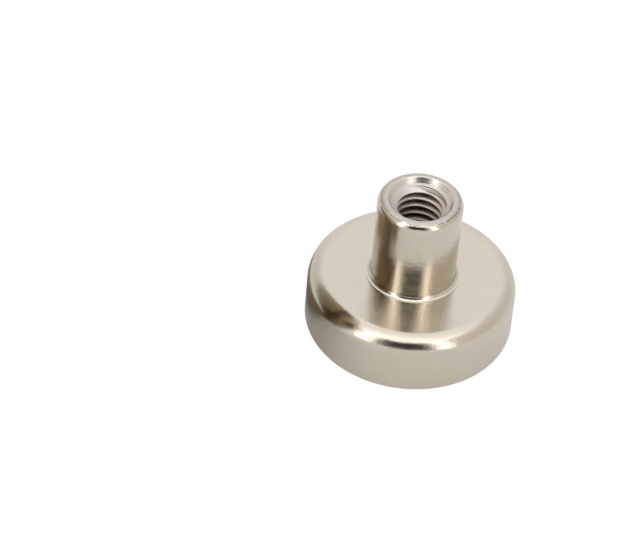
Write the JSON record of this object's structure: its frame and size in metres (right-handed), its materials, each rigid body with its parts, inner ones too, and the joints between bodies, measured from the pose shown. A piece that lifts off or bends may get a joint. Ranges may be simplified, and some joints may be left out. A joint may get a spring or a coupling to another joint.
{
  "type": "pot magnet",
  "caption": "Round steel pot magnet with a flush disc magnet in a resin ring on its holding face and an internally threaded bush standing up from its back.",
  "frame": {"origin": "middle of the holding face, on the axis of the pot", "axes": "+Z along the axis of the pot and its bush, from the holding face towards the mouth of the thread"},
  "size_m": [0.016, 0.016, 0.0126],
  "materials": {
    "pot_nickel": "satin nickel plate",
    "bush_nickel": "bright nickel plate",
    "magnet_nickel": "fine-grained nickel plate",
    "potting_resin": "matt cast resin"
  },
  "bodies": {
    "root": {"pot": "pot_nickel", "threaded_bush": "bush_nickel", "disc_magnet": "magnet_nickel", "resin_ring": "potting_resin"}
  },
  "joints": []
}
